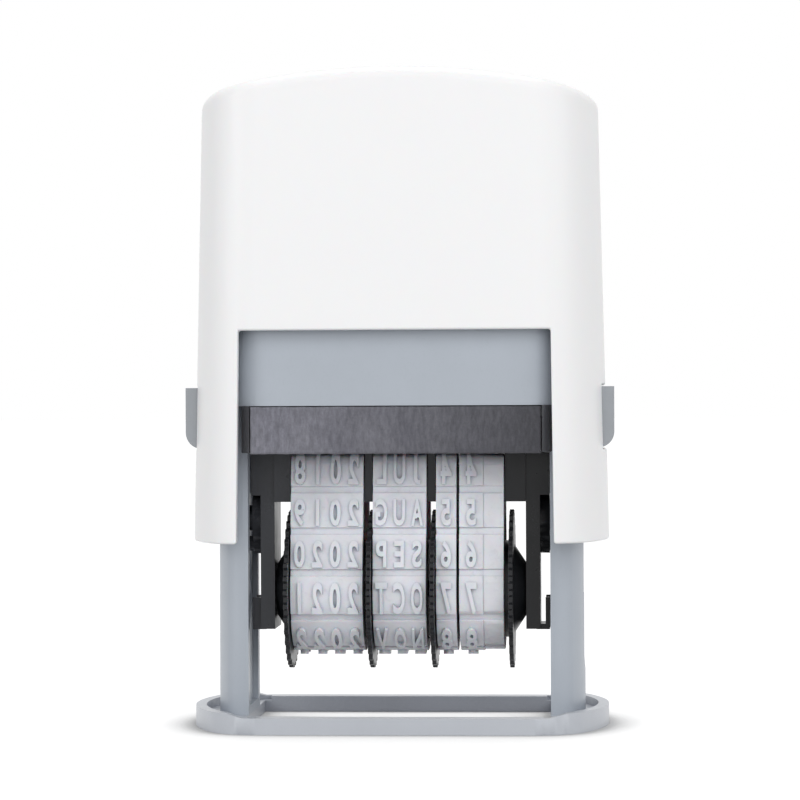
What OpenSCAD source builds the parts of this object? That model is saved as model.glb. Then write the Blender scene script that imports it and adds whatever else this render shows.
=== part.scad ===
// Self-inking date stamp: pressing the sprung cap flips a rotor of four date bands
// from the ink pad above it down to the paper.
// Millimetres, +Z up, front is -Y, origin on the desk under the middle of the foot ring.

/* [Foot ring] */
// Width of the ring, left to right
foot_w = 38.9; // [38.5:0.1:42]
// Depth of the ring, front to back
foot_d = 24; // [23:0.5:27]
// Corner radius of the ring seen from above
foot_r = 5; // [3:0.5:7]
// Radius of the bulged ends of the ring and of the cap seen from above
side_r = 20; // [18:0.5:26]
// Width of the front and rear rails
rail_w = 2; // [1.5:0.1:2.4]
// Height of the front and rear rails
rail_h = 1.5; // [1.3:0.1:1.7]
// Height of the raised ends round the legs
end_h = 1.9; // [1.8:0.1:2.4]
// Width of the raised rim at each end
rim_w = 1; // [0.8:0.1:1.4]
// Height of the pocket floor that a leg stands on
pocket_z = 1.1; // [0.8:0.1:1.2]

/* [Frame] */
// Thickness of a leg, left to right
leg_t = 3.2; // [3:0.1:3.6]
// Depth of a leg, front to back
leg_d = 10; // [9.5:0.5:12]
// Radius of a leg's outer edges
leg_r = 2; // [1.5:0.25:2.5]
// Radius of a leg's bulged outer face
leg_side_r = 8; // [7:0.5:12]
// Depth of the housing above the legs, front to back
housing_d = 19.4; // [19:0.2:20]
// Height of the housing above the pad cassette
housing_h = 11.3; // [10.5:0.1:12]
// Wall thickness of the housing
housing_wall = 1.4; // [1.2:0.1:1.8]

/* [Ink pad] */
// Thickness of the felt
pad_t = 3.2; // [2.8:0.1:3.6]
// Thickness of the cassette's top plate
cassette_t = 1; // [0.8:0.1:1.4]
// Thickness of the cassette's end walls
cassette_wall = 0.85; // [0.7:0.05:1]

/* [Cap] */
// Travel of the cap from rest to the paper
stroke = 12.95; // [12.45:0.25:13.45]
// Height of the cap from its lower edge to the middle of its crown
cap_h = 43.6; // [43:0.2:45]
// Wall thickness of the cap
cap_wall = 1.2; // [1.1:0.05:1.4]
// Radius of the cap's vertical edges
cap_edge_r = 5; // [4:0.25:5.5]
// Radius of the edge between the walls and the crown
cap_top_r = 1.2; // [1:0.1:1.6]
// Radius of the crown from left to right
crown_r = 72; // [60:2:90]
// Height of the window from the cap's lower edge
window_h = 19.5; // [18.5:0.25:20.5]
// How far each side of the window's top stands outside a leg's inner face
window_room = 0.2; // [0:0.05:0.4]
// Height of a lock button
button_h = 5.7; // [5:0.1:6]
// Depth of a lock button, front to back
button_d = 7; // [6:0.25:8]
// How far a lock button stands out of the cap
button_out = 0.75; // [0.7:0.05:1]
// Travel of a lock button
button_travel = 0.7; // [0.5:0.05:0.7]

/* [Rotor] */
// Height of the printing face above the rotor's axis
face_h = 6.3; // [6.1:0.1:6.6]
// Distance from the rotor's axis down to the wheel shaft
shaft_drop = 6.7; // [6.5:0.1:6.9]
// Thickness of an end plate
plate_t = 1.32; // [1.1:0.05:1.4]
// Width of an end plate, front to back
plate_d = 6; // [5:0.25:6.5]
// Diameter of a trunnion pin
trunnion_d = 2.4; // [2:0.1:2.6]
// Diameter of the wheel shaft
shaft_d = 1.6; // [1.4:0.1:2]

/* [Date bands] */
// Number of rows on a band
rows = 12; // [10:1:14]
// Thickness of a band between its rows
band_t = 0.8; // [0.6:0.05:0.9]
// Height of a row's tile above the band
tile_h = 0.3; // [0.2:0.05:0.4]
// Width of the groove between two rows
groove_w = 0.65; // [0.5:0.05:0.9]
// Radius of the band's mid-line round its wheel
drum_r = 5.1; // [4.95:0.05:5.2]
// Flat width of the printing face, front to back
face_d = 5.48; // [5:0.1:5.8]
// Share of the bands' width that the year band takes
year_share = 0.38; // [0.36:0.005:0.4]
// Share of the bands' width that the month band takes
month_share = 0.28; // [0.26:0.005:0.3]
// Share of the bands' width that the tens band takes, with the units band on the rest
tens_share = 0.107; // [0.09:0.001:0.12]
// Diameter of a thumb wheel
wheel_d = 14.9; // [14.3:0.1:15]
// Thickness of a thumb wheel
wheel_t = 0.4; // [0.35:0.05:0.5]
// Number of teeth on a thumb wheel
teeth = 36; // [30:2:42]

/* [Return spring] */
// Outer diameter of the spring
spring_d = 9.3; // [8.5:0.1:9.8]
// Diameter of the spring wire
wire_d = 0.9; // [0.8:0.05:1]
// Number of turns
turns = 9; // [8:1:10]

/* [Hidden] */
$fn = 48;
cut = 1;

// Fits
run_gap = 0.05;
slide_gap = 0.1;
clear = 0.3;
touch_gap = 0.05;

// Heights, from the paper up
axis_z = stroke + face_h + touch_gap;
ledge_z = axis_z + face_h;
pad_z = ledge_z + slide_gap;
plate_z = pad_z + pad_t;
housing_z = plate_z + cassette_t;
housing_top = housing_z + housing_h;
well_rise = 3.3;
well_z = housing_z + well_rise;
boss_d = 4;
cap_z = axis_z - boss_d / 2;
cap_top = cap_z + cap_h;
seat_drop = 2.2;
seat_z = cap_top - seat_drop;

// Frame, which stands between the ring's two end rims
leg_inset = 1.2;
leg_out = foot_w / 2 - rim_w - leg_inset;
leg_in = leg_out - leg_t;
leg_gap = 2 * leg_in;
ramp_l = 1.5;
ramp_out = leg_in + ramp_l;
housing_step = 0.45;
housing_hw = leg_out - housing_step;
housing_r = 3.5;
leg_lap = 0.5;
stud_d = 2.4;
stud_z = 0.3;
channel_d = 7.4;
channel_t = 0.5;
slot_w = trunnion_d + 2 * slide_gap;
cam_r = 2.4;
cam_peg_d = 1.4;
cam_depth = 0.95;
cam_steps = 24;
seat_wall = 1.6;
seat_r = spring_d / 2 + seat_wall;
seat_h = 6.8;
web_t = 1.2;
web_h = 4.5;

// Ink pad
cassette_lap = 0.2;
cassette_hw = leg_in + cassette_lap;
cassette_in = cassette_hw - cassette_wall;
cassette_r = 1.5;
pad_proud = 0.1;
pad_d = housing_d + 2 * pad_proud;
lip_d = 1;
pad_r = 0.45;

// Cap, tapering upwards on all four sides
cap_gap = 1.08;
cap_hw = leg_out + cap_gap + cap_wall;
cap_hd = housing_d / 2 + cap_gap + cap_wall;
side_taper = 0.0215;
front_taper = 0.015;
shoulder_h = cap_h - cap_top_r - cap_hw * cap_hw / (2 * crown_r);
crown_t = 1.6;
boss_gap = 0.25;
boss_x = leg_out + boss_gap;
bore_end = 0.5;
peg_h = 2;
edge_t = 0.1;
inner_r = 0.4;
window_w = leg_gap + 2 * window_room;
window_flare = 0.011;
window_r = 0.75;

// Lock buttons
button_rise = 6.6;
button_z = axis_z + button_rise;
button_top = button_z + button_h;
button_r = 1.5;
button_lip = 0.5;
lip_gap = 0.12;
tongue_d = 2.4;
tongue_gap = 0.15;
tongue_x = leg_out + tongue_gap;
button_wall = cap_hw - side_taper * (button_z + button_h / 2 - cap_z);
button_x = button_wall + button_out;
button_back = tongue_x + button_travel;
lip_x = cap_hw - cap_wall - side_taper * (button_top + button_lip - cap_z) - lip_gap;

// Rotor
rotor_hw = leg_in - slide_gap;
hub_d = 4.8;
hub_l = 0.87;
plate_out = rotor_hw - hub_l;
plate_in = plate_out - plate_t;
plate_gap = 0.2;
plate_top = ledge_z - plate_gap;
shaft_z = axis_z - shaft_drop;
plate_foot = 3.6;
block_rise = 2.2;
block_z = axis_z + block_rise;
shoe_drop = 3.7;
shoe_z = shaft_z - shoe_drop;
shoe_h = 3;
hook_h = 0.5;
shoe_d = 4;
shoe_t = 0.4;
dowel_d = 1.2;
dowel_root = 0.2;
dowel_y = 1.5;
dowel_rise = 3.2;
dowel_z = axis_z + dowel_rise;
bridge_gap = 0.85;
bridge_z = shaft_z + wheel_d / 2 + bridge_gap;
pin_floor = 0.3;
pin_start = plate_in + pin_floor;
collar_t = 0.25;
pin_end = cap_hw - bore_end - slide_gap;
clip_d = 3.2;
clip_t = 0.5;
clip_x = plate_out - clip_t;

// Band loop, a round end on the wheel and two small corners under the printing face
face_r = 0.6;
char_h = 0.2;
loop_top = axis_z + face_h - char_h - tile_h - band_t / 2;
face_y = face_d / 2;
corner_z = loop_top - face_r;
loop_rise = corner_z - shaft_z;
centre_d = sqrt(face_y * face_y + loop_rise * loop_rise);
lean = asin((drum_r - face_r) / centre_d) - atan(face_y / loop_rise);
run_l = sqrt(centre_d * centre_d - (drum_r - face_r) * (drum_r - face_r));
corner_l = face_r * (90 - lean) * PI / 180;
drum_l = drum_r * (180 + 2 * lean) * PI / 180;
loop_l = face_d + 2 * corner_l + 2 * run_l + drum_l;
pitch = loop_l / rows;
core_gap = 0.15;
core_r = band_t / 2 + core_gap;
fin_y = face_y + face_r;

// Stations along the wheel shaft, from the left end plate to the right one
edge_gap = 0.1;
wheel_gap = 0.3;
hub_out = 1.16;
units_edge = 0.45;
year_disc = -plate_in + hub_out;
units_disc = -year_disc - wheel_t;
year_x = year_disc + wheel_t + edge_gap;
disc_room = wheel_gap + wheel_t + 2 * edge_gap;
bands_w = units_disc - units_edge - year_x - 2 * disc_room - 5 / 2 * edge_gap;
year_w = year_share * bands_w;
month_w = month_share * bands_w;
tens_w = tens_share * bands_w;
year_end = year_x + year_w + edge_gap;
month_disc = year_end + wheel_gap;
month_x = month_disc + wheel_t + edge_gap;
month_end = month_x + month_w + edge_gap;
tens_disc = month_end + wheel_gap;
tens_x = tens_disc + wheel_t + edge_gap;
tens_end = tens_x + tens_w + edge_gap;
units_start = tens_end + edge_gap;
units_x = units_start + edge_gap / 2;
units_w = units_disc - units_edge - units_x;
units_end = units_x + units_w + edge_gap;
blank_w = 1.9;
blank_h = 0.18;
tooth_h = 0.4;
tooth_foot = 0.3;
tooth_tip = 0.15;
wheel_hub_d = 9;
wheel_hub_tip = 5;

// Return spring, between the frame's well and the seat under the crown
coil_r = (spring_d - wire_d) / 2;
coil_low = well_z + wire_d / 2 + touch_gap;
coil_high = seat_z - wire_d / 2 - touch_gap;
rings = 8;
sides = 6;
coil_pitch = (coil_high - coil_low) / turns;
coil_room = 0.4;
assert(coil_pitch > wire_d + coil_room);

// Corner centre of a bulged rectangle, and the angle where its end arc meets the corner arc
function bulge_x(w, d, r, end_r) = w / 2 - end_r + sqrt(pow(end_r - r, 2) - pow(d / 2 - r, 2));
function bulge_turn(d, r, end_r) = asin((d / 2 - r) / (end_r - r));

// Rectangle with round corners r and two ends that bulge with the radius end_r, centred
module bulged_rect(w, d, r, end_r) {
    x = bulge_x(w, d, r, end_r);
    square([2 * x, d], center = true);
    for (sx = [-1, 1], sy = [-1, 1])
        translate([sx * x, sy * (d / 2 - r)])
            circle(r);
    for (s = [-1, 1])
        intersection() {
            translate([s * w / 4, 0])
                square([w / 2, 2 * end_r * sin(bulge_turn(d, r, end_r))], center = true);
            translate([s * (w / 2 - end_r), 0])
                circle(end_r, $fn = 128);
        }
}

// Rectangle with round corners r between two corners
module round_rect(low, high, r) {
    translate(low + [r, 0])
        square(high - low - [2 * r, 0]);
    translate(low + [0, r])
        square(high - low - [0, 2 * r]);
    for (x = [low[0] + r, high[0] - r], y = [low[1] + r, high[1] - r])
        translate([x, y])
            circle(r);
}

// Solid along X from a drawing of the YZ plane
module along_x(x0, x1) {
    translate([x0, 0, 0])
        rotate([90, 0, 90])
            linear_extrude(x1 - x0)
                children();
}

// Solid along Y, from front to back, from a drawing of the XZ plane
module along_y(y0, y1) {
    translate([0, y1, 0])
        rotate([90, 0, 0])
            linear_extrude(y1 - y0)
                children();
}

// Round bar along X
module bar_x(d, x0, x1, y, z) {
    translate([x0, y, z])
        rotate([0, 90, 0])
            cylinder(d = d, h = x1 - x0);
}

// Cone along X on the wheel shaft, from the diameter d0 at x0 to d1 at x1
module cone_x(d0, x0, d1, x1) {
    translate([min(x0, x1), 0, shaft_z])
        rotate([0, 90, 0])
            cylinder(d1 = x0 < x1 ? d0 : d1, d2 = x0 < x1 ? d1 : d0, h = abs(x1 - x0));
}

// Box between two corners
module block(low, high) {
    translate(low)
        cube(high - low);
}

// The right-hand piece, or its mirror on the left
module side(s) {
    if (s > 0)
        children();
    else
        mirror([1, 0, 0])
            children();
}

// Foot ring: raised ends ramp down to the two rails, and each end has a pocket for a leg
module foot_ring() {
    color("#b5b9c0")
        difference() {
            intersection() {
                linear_extrude(end_h)
                    bulged_rect(foot_w, foot_d, foot_r, side_r);
                along_y(-foot_d, foot_d)
                    polygon([[-foot_w, 0], [-foot_w, end_h], [-ramp_out, end_h], [-leg_in, rail_h],
                        [leg_in, rail_h], [ramp_out, end_h], [foot_w, end_h], [foot_w, 0]]);
            }
            translate([0, 0, -cut])
                linear_extrude(end_h + 2 * cut)
                    square([leg_gap, foot_d - 2 * rail_w], center = true);
            translate([0, 0, pocket_z])
                linear_extrude(end_h)
                    difference() {
                        bulged_rect(foot_w - 2 * rim_w, foot_d - 2 * rim_w, foot_r - rim_w, side_r - rim_w);
                        square([leg_gap - 4 * clear, foot_d], center = true);
                    }
            for (s = [-1, 1])
                translate([s * (leg_in + leg_t / 2), 0, stud_z - touch_gap])
                    cylinder(d = stud_d + 2 * run_gap, h = end_h);
        }
}

// Path of the cam peg in a leg, as the rotor turns by a and the cap goes down with it
function cam_point(a) = [cam_r * sin(a), axis_z - stroke * a / 180 - cam_r * cos(a)];
function cam_slope(a) = [cam_r * cos(a), -stroke / PI + cam_r * sin(a)];
function cam_edge(a, o) = cam_point(a) + o * [-cam_slope(a)[1], cam_slope(a)[0]] / norm(cam_slope(a));

module cam_track() {
    o = cam_peg_d / 2 + slide_gap;
    angles = [for (i = [0:cam_steps]) 180 * i / cam_steps];
    polygon(concat([for (a = angles) cam_edge(a, o)],
        [for (i = [cam_steps:-1:0]) cam_edge(angles[i], -o)]));
    for (a = [0, 180])
        translate(cam_point(a))
            circle(o);
}

module trunnion_slot() {
    translate([-slot_w / 2, axis_z - stroke])
        square([slot_w, stroke]);
    for (z = [axis_z - stroke, axis_z])
        translate([0, z])
            circle(d = slot_w);
}

// Plan of a leg, flat inside and bulged outside
module leg_plan() {
    intersection() {
        bulged_rect(2 * leg_out, leg_d, leg_r, leg_side_r);
        translate([leg_in, -leg_d])
            square([leg_t + cut, 2 * leg_d]);
    }
}

module leg() {
    difference() {
        union() {
            translate([0, 0, pocket_z])
                linear_extrude(housing_z + leg_lap - pocket_z)
                    leg_plan();
            translate([leg_in + leg_t / 2, 0, stud_z])
                cylinder(d = stud_d, h = pocket_z);
        }
        // Seat of the pad cassette
        block([leg_in - cut, -leg_d, ledge_z], [cassette_hw + slide_gap, leg_d, housing_z + cut]);
        // Channel, cam track and trunnion slot of the inner face
        block([leg_in - cut, -channel_d / 2, end_h], [leg_in + channel_t, channel_d / 2, axis_z + hub_d / 2]);
        along_x(leg_in - cut, leg_in + channel_t + cam_depth)
            cam_track();
        along_x(leg_in - cut, leg_out + cut)
            trunnion_slot();
    }
}

// Plan of the housing, g inside its outer face
module housing_plan(g) {
    bulged_rect(2 * (housing_hw - g), housing_d - 2 * g, housing_r - g, side_r - cap_hw + housing_hw - g);
}

// Frame: two legs under one housing, whose front is the panel in the window
module frame() {
    tongue_low = button_z - button_lip - stroke - clear;
    tongue_high = button_top + button_lip + clear;
    color("#a4adb6")
        difference() {
            union() {
                for (s = [-1, 1])
                    side(s)
                        leg();
                difference() {
                    translate([0, 0, housing_z])
                        linear_extrude(housing_h)
                            housing_plan(0);
                    translate([0, 0, housing_z + housing_wall])
                        linear_extrude(housing_h)
                            housing_plan(housing_wall);
                }
                translate([0, 0, housing_z + leg_lap])
                    cylinder(r = seat_r, h = seat_h);
                block([-housing_hw + leg_lap, -web_t / 2, housing_z + leg_lap],
                    [housing_hw - leg_lap, web_t / 2, housing_z + web_h]);
            }
            translate([0, 0, well_z])
                cylinder(d = spring_d + 2 * clear, h = housing_h);
            for (s = [-1, 1])
                side(s)
                    block([tongue_x - button_travel - clear, -tongue_d / 2 - clear, tongue_low],
                        [leg_out + cut, tongue_d / 2 + clear, tongue_high]);
        }
}

// Cassette that holds the felt, open below and at the front
module pad_cassette() {
    color("#3a3b3f")
        difference() {
            translate([0, 0, ledge_z])
                linear_extrude(housing_z - ledge_z)
                    round_rect([-cassette_hw, -pad_d / 2], [cassette_hw, pad_d / 2], cassette_r);
            block([-cassette_in, -pad_d / 2 - cut, ledge_z - cut],
                [cassette_in, pad_d / 2 - cassette_wall, plate_z]);
            block([-cassette_in, -pad_d / 2 - cut, ledge_z - cut],
                [cassette_in, -pad_d / 2 + lip_d, housing_z + cut]);
        }
}

// Felt soaked with ink, with its front edge turned up before the top plate
module ink_pad() {
    low = [-cassette_in, -pad_d / 2];
    color("#62626a")
        translate([0, 0, pad_z]) {
            linear_extrude(pad_t)
                round_rect(low, [cassette_in, pad_d / 2 - cassette_wall], pad_r);
            linear_extrude(housing_z - touch_gap - pad_z)
                round_rect(low, [cassette_in, lip_d - pad_d / 2], pad_r);
        }
}

// Ring of points round the spring wire after t turns
function coil_ring(t) = [for (k = [0:sides - 1])
    let (a = 360 * t, b = 360 * k / sides, r = coil_r + wire_d / 2 * cos(b))
    [r * cos(a), r * sin(a), coil_low + coil_pitch * t + wire_d / 2 * sin(b)]];

module return_spring() {
    n = turns * rings;
    walls = [for (i = [0:n - 1], k = [0:sides - 1])
        let (a = i * sides + k, b = i * sides + (k + 1) % sides)
        [a, b, b + sides, a + sides]];
    low = [for (k = [sides - 1:-1:0]) k];
    high = [for (k = [0:sides - 1]) n * sides + k];
    color("#b9bcc0")
        polyhedron([for (i = [0:n]) each coil_ring(i / rings)], concat([low], walls, [high]));
}

// Height of the crown's sphere centres, r inside a crown of radius c with its top at z
function crown_z(x, r, c, z) = z - c + sqrt((c - r) * (c - r) - x * x);

// Point on the cap's plan, g inside a cap of half sizes hw and hd, where its edge faces the angle a
function cap_edge(hw, hd, g, a) = a < bulge_turn(2 * hd, cap_edge_r, side_r)
    ? [hw - side_r, 0] + (side_r - g) * [cos(a), sin(a)]
    : [bulge_x(2 * hw, 2 * hd, cap_edge_r, side_r), hd - cap_edge_r] + (cap_edge_r - g) * [cos(a), sin(a)];

// Tapered body with a crowned top, g inside the cap's outer surface
module cap_form(g, top) {
    rt = max(cap_top_r - g, inner_r);
    hw = cap_hw - side_taper * shoulder_h;
    hd = cap_hd - front_taper * shoulder_h;
    flat = bulge_x(2 * hw, 2 * hd, cap_edge_r, side_r);
    hull() {
        translate([0, 0, cap_z - g])
            linear_extrude(edge_t)
                bulged_rect(2 * (cap_hw - g), 2 * (cap_hd - g), cap_edge_r - g, side_r - g);
        for (x = [-1, 1], y = [-1, 1], a = [0:11.25:90])
            let (p = cap_edge(hw, hd, g + rt, a))
            translate([x * p[0], y * p[1], crown_z(p[0], rt, crown_r, top)])
                sphere(rt, $fn = 20);
        for (i = [-3:3], y = [-1, 1])
            translate([flat * i / 4, y * (hd - g - rt), crown_z(flat * i / 4, rt, crown_r, top)])
                sphere(rt, $fn = 20);
    }
}

// Opening of the window, r round at its two upper corners
module window() {
    top = cap_z + window_h;
    low = cap_z - cut;
    hw = window_w / 2;
    low_hw = hw + window_flare * (top - low);
    polygon([[-low_hw, low], [low_hw, low], [hw, top - window_r], [hw - window_r, top],
        [window_r - hw, top], [-hw, top - window_r]]);
    for (s = [-1, 1])
        translate([s * (hw - window_r), top - window_r])
            circle(window_r);
}

// Cap: a hollow shell with a window front and back, trunnion bosses and a spring seat
module cap_shell() {
    peg_r = coil_r - wire_d / 2 - clear;
    color("#f3f3f4")
        difference() {
            union() {
                difference() {
                    cap_form(0, cap_top);
                    cap_form(cap_wall, cap_top - crown_t);
                }
                for (s = [-1, 1])
                    side(s)
                        bar_x(boss_d, boss_x, cap_hw - bore_end, 0, axis_z);
                translate([0, 0, seat_z])
                    cylinder(r = seat_r, h = seat_drop - crown_t / 2);
                translate([0, 0, seat_z - peg_h])
                    cylinder(r = peg_r, h = peg_h + crown_t / 2);
            }
            along_y(-foot_d, foot_d)
                window();
            for (s = [-1, 1])
                side(s) {
                    bar_x(trunnion_d + 2 * run_gap, boss_x - cut, cap_hw - bore_end, 0, axis_z);
                    block([leg_out, -button_d / 2 - slide_gap, button_z - slide_gap],
                        [cap_hw + cut, button_d / 2 + slide_gap, button_top + slide_gap]);
                }
        }
}

// Lock button: a pad in the cap's side on a tongue that is kept in by its two lips
module lock_button(s) {
    color("#9fa3a7")
        side(s)
            union() {
                intersection() {
                    block([button_back, -button_d / 2, button_z], [button_x, button_d / 2, button_top]);
                    along_y(-button_d, button_d)
                        union() {
                            translate([button_x - button_r, button_z + button_r])
                                circle(button_r);
                            translate([button_back - cut, button_z])
                                square([button_x - button_r - button_back + cut, button_h + cut]);
                            translate([button_back - cut, button_z + button_r])
                                square([button_x - button_back + 2 * cut, button_h]);
                        }
                }
                block([tongue_x, -tongue_d / 2, button_z], [button_back, tongue_d / 2, button_top]);
                block([tongue_x, -tongue_d / 2, button_z - button_lip],
                    [lip_x, tongue_d / 2, button_top + button_lip]);
            }
}

module lock_button_left() {
    lock_button(-1);
}

module lock_button_right() {
    lock_button(1);
}

// End plate with its trunnion hub, shoulder block, cam peg and dowel holes
module end_plate(s) {
    color("#2c2d30")
        side(s)
            difference() {
                union() {
                    block([plate_in, -plate_d / 2, shaft_z - plate_foot], [plate_out, plate_d / 2, plate_top]);
                    block([plate_in, -plate_d / 2, block_z], [rotor_hw, plate_d / 2, plate_top]);
                    bar_x(hub_d, plate_in, rotor_hw, 0, axis_z);
                    bar_x(cam_peg_d + 2 * collar_t, plate_in, rotor_hw, 0, axis_z - cam_r);
                    bar_x(cam_peg_d, plate_in, leg_in + channel_t + cam_depth - slide_gap, 0, axis_z - cam_r);
                    children();
                }
                bar_x(trunnion_d + 2 * run_gap, pin_start, rotor_hw + cut, 0, axis_z);
                bar_x(shaft_d + 2 * run_gap, plate_in - cut, rotor_hw + cut, 0, shaft_z);
                bar_x(clip_d + 2 * slide_gap, clip_x - touch_gap, rotor_hw + cut, 0, shaft_z);
                for (y = [-dowel_y, dowel_y])
                    bar_x(dowel_d + 2 * run_gap, plate_in - cut, plate_out - slide_gap, y, dowel_z);
            }
}

// The left shoe is a solid block beside the wheel shaft
module end_plate_left() {
    end_plate(-1)
        block([plate_out - shoe_t, -shoe_d / 2, shoe_z], [rotor_hw, shoe_d / 2, shoe_z + shoe_h]);
}

// The right shoe is a thin hook
module end_plate_right() {
    end_plate(1)
        union() {
            block([rotor_hw - shoe_t, -shoe_d / 2, shoe_z], [rotor_hw, shoe_d / 2, shoe_z + shoe_h]);
            block([plate_out - shoe_t, -shoe_d / 2, shoe_z], [rotor_hw, shoe_d / 2, shoe_z + hook_h]);
        }
}

// Outline of the band loop, o outside its mid-line, in the YZ plane
module loop_outline(o) {
    reach = [cos(lean), sin(lean)];
    drum_p = [0, shaft_z] + (drum_r + o) * reach;
    corner_p = [face_y, corner_z] + (face_r + o) * reach;
    top_p = [face_y, loop_top + o];
    translate([0, shaft_z])
        circle(drum_r + o, $fn = 96);
    for (y = [-face_y, face_y])
        translate([y, corner_z])
            circle(face_r + o);
    polygon([drum_p, corner_p, top_p, [-top_p[0], top_p[1]], [-corner_p[0], corner_p[1]],
        [-drum_p[0], drum_p[1]]]);
}

// Place and outward direction on the mid-line, l along it from the middle of the face
function loop_turn(l) =
    l < face_y ? 90
    : l < face_y + corner_l ? 90 - (l - face_y) / face_r * 180 / PI
    : l < face_y + corner_l + run_l ? lean
    : lean - (l - face_y - corner_l - run_l) / drum_r * 180 / PI;
function loop_place(l) =
    let (a = loop_turn(l), u = [cos(a), sin(a)], run = l - face_y - corner_l)
    l < face_y ? [l, loop_top]
    : l < face_y + corner_l ? [face_y, corner_z] + face_r * u
    : l < face_y + corner_l + run_l ? [face_y, corner_z] + face_r * u + run * [u[1], -u[0]]
    : [0, shaft_z] + drum_r * u;

// Band: a closed loop with a raised tile for each row and a groove between rows
module band(x0, x1) {
    along_x(x0, x1)
        difference() {
            loop_outline(band_t / 2 + tile_h);
            loop_outline(-band_t / 2);
            for (i = [0:ceil(rows / 2) - 1], m = [-1, 1])
                let (l = (i + 0.5) * pitch, p = loop_place(l))
                translate([m * p[0], p[1]])
                    rotate(m > 0 ? loop_turn(l) : 180 - loop_turn(l))
                        translate([band_t / 2, -groove_w / 2])
                            square([cut, groove_w]);
        }
}

module year_band() {
    color("#d2d3da")
        band(year_x, year_x + year_w);
}

module month_band() {
    color("#d2d3da")
        band(month_x, month_x + month_w);
}

module tens_band() {
    color("#d2d3da")
        band(tens_x, tens_x + tens_w);
}

// The outer part of the units band is a blank step with lower tiles
module units_band() {
    color("#d2d3da")
        difference() {
            band(units_x, units_x + units_w);
            along_x(units_x + units_w - blank_w, units_x + units_w + cut)
                difference() {
                    loop_outline(cut);
                    loop_outline(band_t / 2 + blank_h);
                }
        }
}

// Bridge inside the loops that backs the printing face, with fins between the bands
module print_bridge() {
    color("#2c2d30")
        union() {
            intersection() {
                along_x(-plate_in, plate_in)
                    loop_outline(-core_r);
                block([-plate_in, -drum_r, bridge_z], [plate_in, drum_r, loop_top]);
            }
            for (x = [[year_end, month_x - edge_gap], [month_end, tens_x - edge_gap]])
                block([x[0], -fin_y, bridge_z], [x[1], fin_y, plate_top]);
            for (s = [-1, 1])
                side(s) {
                    block([s < 0 ? units_disc : units_end, -fin_y, bridge_z], [plate_in, fin_y, plate_top]);
                    for (y = [-dowel_y, dowel_y])
                        bar_x(dowel_d, plate_in - dowel_root, plate_out - 2 * slide_gap, y, dowel_z);
                }
        }
}

module wheel_shaft() {
    color("#45464a")
        bar_x(shaft_d, -plate_out, plate_out, 0, shaft_z);
}

// Press-on rings that keep the wheel shaft in the end plates
module shaft_clips() {
    color("#45464a")
        for (s = [-1, 1])
            side(s)
                difference() {
                    bar_x(clip_d, clip_x, plate_out, 0, shaft_z);
                    bar_x(shaft_d + 2 * run_gap, clip_x - cut, plate_out + cut, 0, shaft_z);
                }
}

module trunnion_pin(s) {
    color("silver")
        side(s)
            bar_x(trunnion_d, pin_start, pin_end, 0, axis_z);
}

module trunnion_pin_left() {
    trunnion_pin(-1);
}

module trunnion_pin_right() {
    trunnion_pin(1);
}

// Thumb wheel: a toothed disc from x0, a drum up to x1 and a tapered hub out to x2
module thumb_wheel(x0, x1, x2) {
    r = wheel_d / 2;
    step = 360 / teeth;
    tooth = [[-tooth_foot, r - tooth_h], [-tooth_tip, r], [tooth_tip, r], [tooth_foot, r - tooth_h]];
    outline = [for (i = [0:teeth - 1], p = tooth) p[1] * [cos(step * (i + p[0])), sin(step * (i + p[0]))]];
    color("#232427")
        difference() {
            union() {
                along_x(x0, x0 + wheel_t)
                    translate([0, shaft_z])
                        polygon(outline);
                bar_x(2 * (drum_r - core_r), min(x0 + wheel_t / 2, x1), max(x0 + wheel_t / 2, x1), 0, shaft_z);
                cone_x(wheel_hub_d, x0 + wheel_t / 2, wheel_hub_tip, x2);
            }
            bar_x(shaft_d + 2 * run_gap, -plate_out, plate_out, 0, shaft_z);
        }
}

module year_wheel() {
    thumb_wheel(year_disc, year_end, -plate_in + edge_gap / 2);
}

module month_wheel() {
    thumb_wheel(month_disc, month_end, month_end);
}

module tens_wheel() {
    thumb_wheel(tens_disc, tens_end, tens_end);
}

module units_wheel() {
    thumb_wheel(units_disc, units_start, plate_in - edge_gap / 2);
}

foot_ring();
frame();
pad_cassette();
ink_pad();
return_spring();
cap_shell();
lock_button_left();
lock_button_right();
end_plate_left();
end_plate_right();
print_bridge();
wheel_shaft();
shaft_clips();
trunnion_pin_left();
trunnion_pin_right();
year_band();
month_band();
tens_band();
units_band();
year_wheel();
month_wheel();
tens_wheel();
units_wheel();
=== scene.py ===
import math

import bmesh
import bpy
from mathutils import Matrix, Vector, noise


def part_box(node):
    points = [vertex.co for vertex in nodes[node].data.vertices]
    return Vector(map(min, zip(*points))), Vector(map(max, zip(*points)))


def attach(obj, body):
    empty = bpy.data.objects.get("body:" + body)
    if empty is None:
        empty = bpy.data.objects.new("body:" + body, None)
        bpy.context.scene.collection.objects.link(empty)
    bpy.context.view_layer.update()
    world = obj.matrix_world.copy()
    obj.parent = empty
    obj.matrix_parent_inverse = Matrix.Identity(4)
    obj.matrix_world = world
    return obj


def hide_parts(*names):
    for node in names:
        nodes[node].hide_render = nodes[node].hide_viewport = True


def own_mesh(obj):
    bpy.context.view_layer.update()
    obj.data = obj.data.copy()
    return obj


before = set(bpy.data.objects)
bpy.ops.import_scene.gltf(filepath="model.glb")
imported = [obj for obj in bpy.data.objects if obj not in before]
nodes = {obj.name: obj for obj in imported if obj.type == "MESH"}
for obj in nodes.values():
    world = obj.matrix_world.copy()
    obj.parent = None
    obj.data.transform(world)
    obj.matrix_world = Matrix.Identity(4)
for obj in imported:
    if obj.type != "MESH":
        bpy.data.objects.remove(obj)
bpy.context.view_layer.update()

MM = 0.001

# Sizes of the CAD part that its node boxes don't give, in millimetres and in the frame's own axes

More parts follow.
